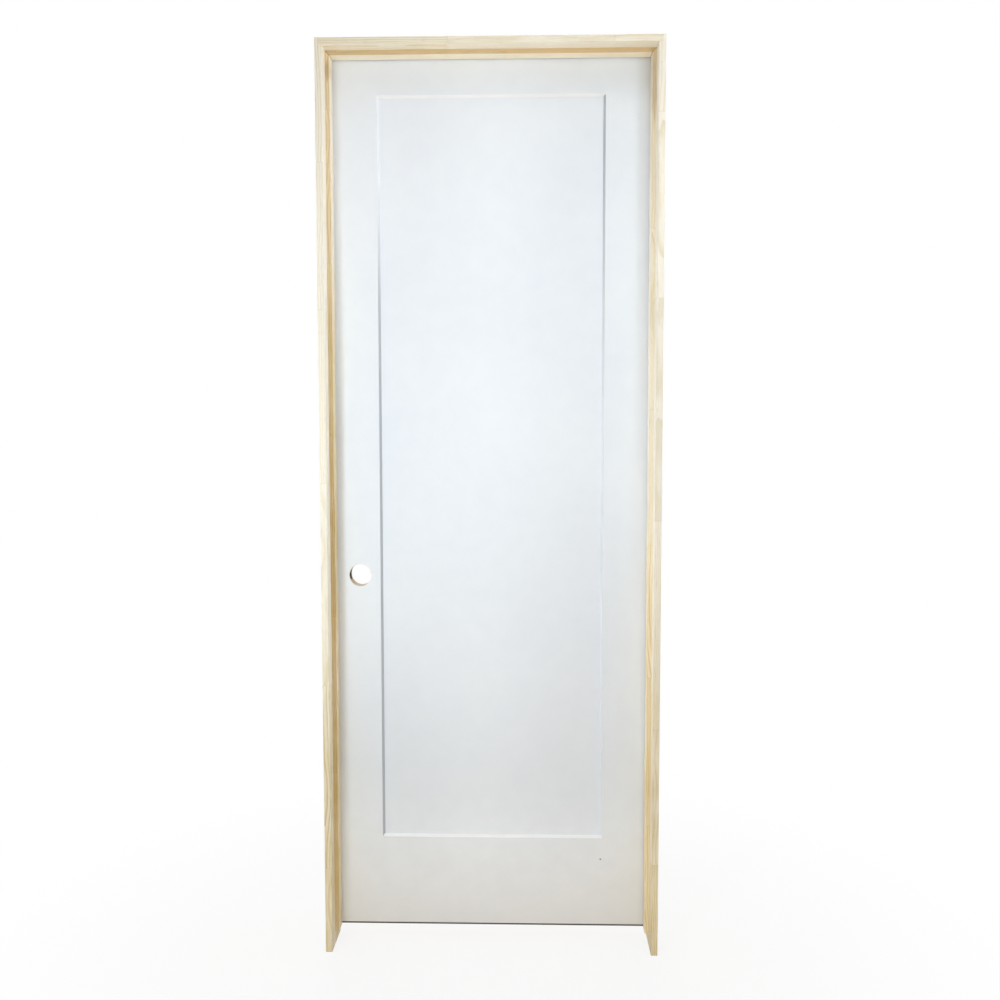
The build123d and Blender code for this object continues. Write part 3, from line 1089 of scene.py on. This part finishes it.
@dataclass
class HingeSet:
    """Three butt hinges: satin leaves and pins, with countersunk screws set in the leaves, each ringed by
    painted countersink shade.

    Attributes:
        finish: The plate.
        head_radius: Radius of a screw's head.
        head_rise: How far a head stands off the leaf.
        head_gap: Gap between the leaf's face and the ring of painted shade, which keeps them apart.
        crown_share: Flat share of a head's radius.
        rim_share: Radius of the ring of painted shade, as a share of the head's.
        head_segments: Sides of a head.
        recess_reach: Reach of the driver recess.
        recess_half: Half width of a recess arm.
        recess_depth: Depth of the recess.
        recess_taper: Size of the recess's floor, as a share of its mouth.
        screw_rows: Height of the three screws off the hinge's middle.
        screw_steps: Distance of each screw from the leaf's free edge.
        levels: The hinges, from the top down.
    """

    finish: SteelFinish = SteelFinish()
    head_radius: float = 4.2 * MM
    head_rise: float = 0.35 * MM
    head_gap: float = 0.02 * MM
    crown_share: float = 0.9
    rim_share: float = 1.12
    head_segments: int = 24
    recess_reach: float = 2.3 * MM
    recess_half: float = 0.5 * MM
    recess_depth: float = 0.9 * MM
    recess_taper: float = 0.6
    screw_rows: tuple[float, ...] = (-31.0 * MM, 0.0, 31.0 * MM)
    screw_steps: tuple[float, ...] = (17.0 * MM, 11.0 * MM, 17.0 * MM)
    levels: tuple[str, ...] = ("upper", "middle", "lower")

    BRUSH_SQUEEZE = (1.0, 1.0, 0.02)
    BRUSH_NOISE = (2600.0, 2.0, 0.6)
    BRUSH_TONE = (0.94, 0.12)
    BRUSH_ROUGH = 0.12
    PATCH_NOISE = (90.0, 3.0, 0.6)
    PATCH_EASE = (0.45, 0.75, 0.0, 0.6)
    PATCH_ROUGH = 0.25
    RIM_SCALE = 1800.0
    CORNER_SHARE = 1.5
    FLAT = 1e-6
    TURN_START, TURN_STEP, TURN_LEAF = 17.0, 41.0, 23.0

    def plate(self) -> bpy.types.Material:
        """Builds the satin plate: fine brushing and dulled patches.

        Returns:
            The new material.
        """
        finish = self.finish
        material, g, place = new_material("satin_nickel")
        brushed = g.noise(g.stretch(place, self.BRUSH_SQUEEZE), *self.BRUSH_NOISE)
        patch = g.noise(place, *self.PATCH_NOISE)
        color = g.mix(g.ramp(patch, *self.PATCH_EASE), finish.plate, finish.dull)
        base, share = self.BRUSH_TONE
        color = g.toned(color, g.plus(base, brushed, share))
        rough = g.math("ADD", finish.rough, g.swing(patch, self.PATCH_ROUGH))
        shader = g.surface(color, g.plus(rough, brushed, self.BRUSH_ROUGH), Metallic=1.0)
        g.bump(shader, brushed, finish.relief, finish.relief_depth)
        return material

    def shade_ring_material(self) -> bpy.types.Material:
        """Builds the painted shade of a countersink round a screw head.

        Returns:
            The new material.
        """
        finish = self.finish
        material, g, place = new_material("countersink_shade")
        color = g.mix(g.noise(place, self.RIM_SCALE), finish.rim, finish.rim_pale)
        g.surface(color, finish.rim_rough, Metallic=finish.rim_metal)
        return material

    @staticmethod
    def verts_of(made: dict[str, list]) -> list[bmesh.types.BMVert]:
        """Picks the vertices out of what an operator made."""
        return [part for part in made["geom"] if isinstance(part, bmesh.types.BMVert)]

    def recess(self, made: bmesh.types.BMesh) -> None:
        """Starts a screw head with the sunk cross of its driver recess.

        Args:
            made: Empty mesh to start.
        """
        grid = bmesh.ops.create_grid(made, x_segments=3, y_segments=3, size=self.recess_reach)
        inner = self.recess_reach / 3
        for vert in grid["verts"]:
            for axis in (0, 1):
                if abs(abs(vert.co[axis]) - inner) < inner / 2:
                    vert.co[axis] = math.copysign(self.recess_half, vert.co[axis])
        clear = self.recess_half * self.CORNER_SHARE
        corners = [vert for vert in made.verts if min(abs(vert.co.x), abs(vert.co.y)) > clear]
        bmesh.ops.delete(made, geom=corners, context="VERTS")
        sunk = self.verts_of(bmesh.ops.extrude_face_region(made, geom=list(made.faces)))
        bmesh.ops.translate(made, verts=sunk, vec=(0, 0, -self.recess_depth))
        bmesh.ops.scale(made, verts=sunk, vec=(self.recess_taper, self.recess_taper, 1.0))
        mouth = [face for face in made.faces if all(abs(vert.co.z) < self.FLAT for vert in face.verts)]
        bmesh.ops.delete(made, geom=mouth, context="FACES_ONLY")

    def screw(self, mesh: bmesh.types.BMesh, spot: Vector, outward: float, turn: float) -> None:
        """Adds one screw head with a cross recess and a ring of painted countersink shade round it.

        Args:
            mesh: Mesh to add to.
            spot: Middle of the head on the leaf's face.
            outward: Side of X that the leaf's face looks to.
            turn: Angle of the recess.
        """
        made = bmesh.new()
        self.recess(made)
        mouth = [edge for edge in made.edges if edge.is_boundary]
        crown = self.head_radius * self.crown_share
        ring = bmesh.ops.create_circle(made, cap_ends=False, segments=self.head_segments, radius=crown)
        outer = [edge for edge in made.edges if set(edge.verts) <= set(ring["verts"])]
        bmesh.ops.bridge_loops(made, edges=mouth + outer)
        skirt = self.verts_of(bmesh.ops.extrude_edge_only(made, edges=outer))
        bmesh.ops.translate(made, verts=skirt, vec=(0, 0, -self.head_rise))
        bmesh.ops.scale(made, verts=skirt, vec=(1 / self.crown_share, 1 / self.crown_share, 1.0))
        wall = [edge for edge in made.edges if edge.is_boundary]
        # A flat dark ring round the head: painted shade of the countersink.
        base = self.verts_of(bmesh.ops.extrude_edge_only(made, edges=wall))
        bmesh.ops.scale(made, verts=base, vec=(self.rim_share, self.rim_share, 1.0))
        for face in {face for vert in base for face in vert.link_faces}:
            face.material_index = 1
        bmesh.ops.recalc_face_normals(made, faces=list(made.faces))
        stand = Matrix.Rotation(outward * math.pi / 2, 4, "Y") @ Matrix.Rotation(turn, 4, "Z")
        lift = Vector((outward * (self.head_rise + self.head_gap), 0.0, 0.0))
        bmesh.ops.transform(made, matrix=Matrix.Translation(spot + lift) @ stand, verts=list(made.verts))
        part = bpy.data.meshes.new("screw_part")
        made.to_mesh(part)
        made.free()
        mesh.from_mesh(part)
        bpy.data.meshes.remove(part)

    def screws(self, level: str, side: LeafSide, plate: bpy.types.Material, rim: bpy.types.Material) -> None:
        """Builds the three screws of one leaf and sets them riding with it.

        Args:
            level: The hinge.
            side: Side of the hinge that the leaf is on.
            plate: Plate material.
            rim: Material of the ring of painted shade.
        """
        body, wood, outward = side.value
        leaf = f"{level}_hinge_{body}_leaf"
        low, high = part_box(leaf)
        wood_low, wood_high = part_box(wood)
        face = wood_high.x if outward > 0 else wood_low.x
        middle = (low.z + high.z) / 2
        mesh = bmesh.new()
        for index, (row, step) in enumerate(zip(self.screw_rows, self.screw_steps)):
            turn = math.radians(self.TURN_START + self.TURN_STEP * index + self.TURN_LEAF * len(leaf))
            self.screw(mesh, Vector((face, low.y + step, middle + row)), outward, turn)
        piece = new_object(f"{leaf}_screws", mesh)
        piece.data.materials.append(plate)
        piece.data.materials.append(rim)
        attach(piece, body)
        log.info("built %s", piece.name)

    def dress(self) -> None:
        """Dresses the hinges and builds their screws."""
        plate, rim = self.plate(), self.shade_ring_material()
        for level in self.levels:
            for node in (f"{level}_hinge_frame_leaf", f"{level}_hinge_door_leaf", f"{level}_hinge_pin"):
                put_on(node, plate)
                log.info("dressed %s", node)
            for side in LeafSide:
                self.screws(level, side, plate, rim)


@dataclass(frozen=True)
class Lamp:
    """One soft area lamp.

    Attributes:
        name: The lamp's name.
        at: Where it stands.
        towards: Point that it is turned to.
        width: Its width.
        height: Its height.
        power: Its power in watts.
        color: Colour of its light.
        spread: Angle that its light spreads over, in degrees.
    """

    name: str
    at: Point
    towards: Point
    width: float
    height: float
    power: float
    color: Color = (1.0, 1.0, 1.0)
    spread: float = 180.0


@dataclass
class Studio:
    """Pale floor, soft lamps, white surroundings and the camera.

    Attributes:
        lens: Focal length in millimetres.
        sensor: Sensor width in millimetres.
        camera_at: Where the camera stands.
        camera_turn: Its turn about each axis, in degrees.
        ambient: Strength of the surroundings at eye level and below.
        overhead: Strength of the surroundings overhead.
        ambient_ease: Rise over which the one goes over to the other.
        ambient_color: Colour of the surroundings' light.
        floor_bounce: Colour of the floor to the light that it throws back.
        floor_white: Colour of the floor where it is seen.
        floor_reach: Half the floor's width.
        floor_gap: How far under the object's foot the floor lies.
        floor_fade: Ease of the floor's glow, by the distance from the object.
        lamps: The lamps.
    """

    lens: float = 38.918
    sensor: float = 36.0
    camera_at: Point = (-0.3121, -2.5902, 0.2022)
    camera_turn: Point = (85.8944, 0.0606, 1.5095)
    ambient: float = 0.4
    overhead: float = 0.8
    ambient_ease: tuple[float, float] = (0.3, 0.9)
    ambient_color: Color = (1.0, 0.99, 0.97)
    floor_bounce: Color = paint(234, 224, 206)
    floor_white: Color = (0.97, 0.97, 0.97)
    floor_reach: float = 30.0
    floor_gap: float = 0.2 * MM
    floor_fade: tuple[float, ...] = (0.3, 1.4, 0.8, 1.0)
    lamps: tuple[Lamp, ...] = (
        Lamp("right_lamp", (1.05, -2.2, 1.0), (-0.45, 0.0, 0.9), 0.55, 0.35, 0.55, (1.0, 0.945, 0.97), 55.0),
        Lamp("right_fill", (0.9, -2.2, 0.4), (-0.15, 0.0, 0.7), 0.6, 0.6, 0.75, (0.7, 0.9, 1.0), 50.0),
        Lamp("left_lamp", (-1.55, -2.4, 1.0), (-0.5, 0.0, 0.15), 0.35, 0.5, 2.0, (0.8, 0.92, 1.0), 60.0),
        Lamp("low_left_lamp", (-1.6, -2.3, 0.6), (-0.75, 0.0, -0.3), 0.4, 0.5, 0.65, (0.8, 0.92, 1.0), 40.0),
        Lamp("floor_glow", (-0.4, -1.35, -1.0), (-0.4, -0.1, 0.6), 1.8, 1.0, 3.85, (1.0, 0.84, 0.72), 140.0),
        Lamp("foot_glow", (-0.4, -0.65, -1.0), (-0.4, 0.0, -0.97), 1.0, 0.08, 0.13, (1.0, 0.92, 0.82), 50.0),
        Lamp("left_graze", (-2.2, -0.55, -0.35), (0.0, -0.02, -0.3), 0.3, 1.2, 0.42, (1.0, 0.98, 0.96), 30.0),
        Lamp("right_graze", (1.4, -0.55, -0.35), (-0.8, -0.02, -0.3), 0.3, 1.2, 0.24, (0.9, 0.97, 1.0), 30.0),
        Lamp(
            "high_right_graze", (1.4, -0.55, 0.8), (-0.8, -0.02, 0.8), 0.3, 0.7, 0.36, (1.0, 0.97, 0.98), 30.0
        ),
        Lamp(
            "high_left_graze", (-2.2, -0.55, 0.5), (0.0, -0.02, 0.5), 0.3, 0.5, 0.12, (1.0, 0.98, 0.96), 30.0
        ),
        Lamp("head_glow", (-0.4, -0.2, 0.0), (-0.4, -0.03, 1.06), 0.7, 0.05, 0.07, (1.0, 0.97, 0.93), 30.0),
        Lamp("top_lamp", (-0.1, -1.1, 2.2), (-0.15, 0.0, 0.7), 0.6, 0.3, 0.36, (0.92, 0.93, 1.0), 55.0),
        Lamp("back_fill", (-0.6, 3.0, 0.9), (-0.4, 0.0, 0.1), 2.0, 2.0, 9.0, (1.0, 0.99, 0.97), 80.0),
    )

    @staticmethod
    def seen(g: Graph) -> Socket:
        """Gives 1 for a ray from the camera, a mirror or a clear piece.

        Args:
            g: Graph of the material or the world.

        Returns:
            The mask.
        """
        path = g.node("LightPath").outputs
        rays = g.math("MAXIMUM", path["Is Camera Ray"], path["Is Glossy Ray"])
        return g.math("MAXIMUM", rays, path["Is Transmission Ray"])

    def build_floor(self) -> None:
        """Builds a floor that shows the shadow near the object and fades to white far off."""
        mesh = bmesh.new()
        bmesh.ops.create_grid(mesh, x_segments=1, y_segments=1, size=self.floor_reach)
        bmesh.ops.translate(mesh, verts=list(mesh.verts), vec=(0.0, 0.0, CAD_BOX[0][2] - self.floor_gap))
        floor = new_object("floor", mesh)
        material, g, place = new_material("pale_floor")
        seen = self.seen(g)
        x, y, _ = g.split(place)
        middle = (CAD_BOX[0][0] + CAD_BOX[1][0]) / 2
        far = g.math("SQRT", g.squares(g.math("SUBTRACT", x, middle), y))
        fade = g.ramp(far, *self.floor_fade)
        diffuse = g.fed(g.node("BsdfDiffuse"), g.mix(seen, self.floor_bounce, self.floor_white))
        glow = g.node("Emission")
        g.feed(glow.inputs["Strength"], 1.0)
        share = g.math("MULTIPLY", fade, seen)
        blend = g.fed(g.node("MixShader"), share, diffuse.outputs[0], glow.outputs[0])
        g.feed(g.node("OutputMaterial").inputs[0], blend.outputs[0])
        floor.data.materials.append(material)

    def build_world(self) -> None:
        """Builds soft surroundings, brighter overhead, and white where they are seen."""
        world = bpy.data.worlds.new("white_surroundings")
        world.use_nodes = True
        g = Graph(world.node_tree)
        _, _, rise = g.split(g.node("TexCoord").outputs["Generated"])
        strength = g.ramp(rise, *self.ambient_ease, self.ambient, self.overhead)
        soft = g.fed(g.node("Background"), self.ambient_color, strength)
        white = g.fed(g.node("Background"), (1.0, 1.0, 1.0))
        blend = g.fed(g.node("MixShader"), self.seen(g), soft.outputs[0], white.outputs[0])
        g.feed(g.node("OutputWorld").inputs[0], blend.outputs[0])
        bpy.context.scene.world = world

    def build_lamps(self) -> None:
        """Builds the area lamps, each turned to what it lights."""
        for lamp in self.lamps:
            data = bpy.data.lights.new(lamp.name, "AREA")
            data.shape = "RECTANGLE"
            data.size, data.size_y = lamp.width, lamp.height
            data.energy = lamp.power
            data.spread = math.radians(lamp.spread)
            data.color = lamp.color
            made = bpy.data.objects.new(lamp.name, data)
            made.visible_camera = False
            made.location = lamp.at
            way = Vector(lamp.towards) - Vector(lamp.at)
            made.rotation_euler = way.to_track_quat("-Z", "Y").to_euler()
            bpy.context.scene.collection.objects.link(made)

    def build_camera(self) -> None:
        """Builds the camera at the photograph's viewpoint."""
        data = bpy.data.cameras.new("camera")
        data.sensor_fit = "HORIZONTAL"
        data.sensor_width = self.sensor
        data.lens = self.lens
        camera = bpy.data.objects.new("camera", data)
        camera.location = self.camera_at
        camera.rotation_euler = [math.radians(angle) for angle in self.camera_turn]
        bpy.context.scene.collection.objects.link(camera)
        bpy.context.scene.camera = camera

    def build(self) -> None:
        """Builds the whole studio."""
        bpy.context.scene.view_settings.view_transform = "Standard"
        self.build_floor()
        self.build_world()
        self.build_lamps()
        self.build_camera()


def main() -> None:
    """Builds and dresses every sub-assembly in order."""
    logging.basicConfig(level=logging.INFO, format="%(name)s: %(message)s")
    wood, effects = WoodEffects(), SurfaceEffects()
    JambSet().dress(wood, effects)
    Slab().dress(effects)
    HingeSet().dress()
    Studio().build()


if __name__ == "__main__":
    main()
